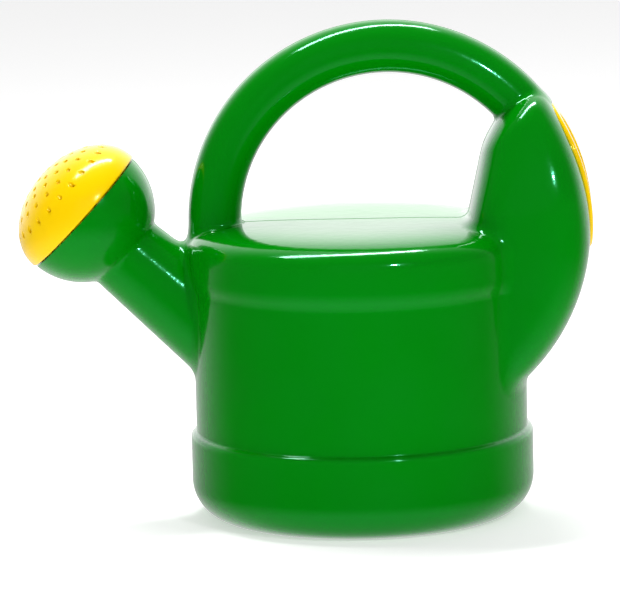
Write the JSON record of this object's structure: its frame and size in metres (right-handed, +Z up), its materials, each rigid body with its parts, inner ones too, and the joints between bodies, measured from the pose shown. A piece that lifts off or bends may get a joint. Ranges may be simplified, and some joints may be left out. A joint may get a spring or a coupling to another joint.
{
  "type": "watering can",
  "caption": "Small round plastic watering can with a looped handle that runs down into a filler lobe, a short spout and a domed sprinkler rose.",
  "frame": {"origin": "centre of the flat base, on the surface that the can stands on", "axes": "+Z up along the tank's axis, +X towards the filler and -X towards the spout, +Y across the can to complete the right-handed set"},
  "size_m": [0.2024, 0.121, 0.1755],
  "materials": {
    "green_shell": "glossy blow-moulded polyethylene, mid green",
    "yellow_rose": "glossy moulded polyethylene, warm yellow",
    "yellow_collar": "glossy moulded polyethylene, warm yellow"
  },
  "bodies": {
    "can": {"tank": "green_shell", "handle": "green_shell", "filler_lobe": "green_shell", "spout": "green_shell", "filler_collar": "yellow_collar"},
    "rose": {"rose": "yellow_rose"}
  },
  "joints": [
    {"name": "rose_pull", "type": "slide", "parent": "can", "child": "rose", "axis": [-0.7266, 0, 0.6871], "range_m": [0, 0.03]}
  ]
}
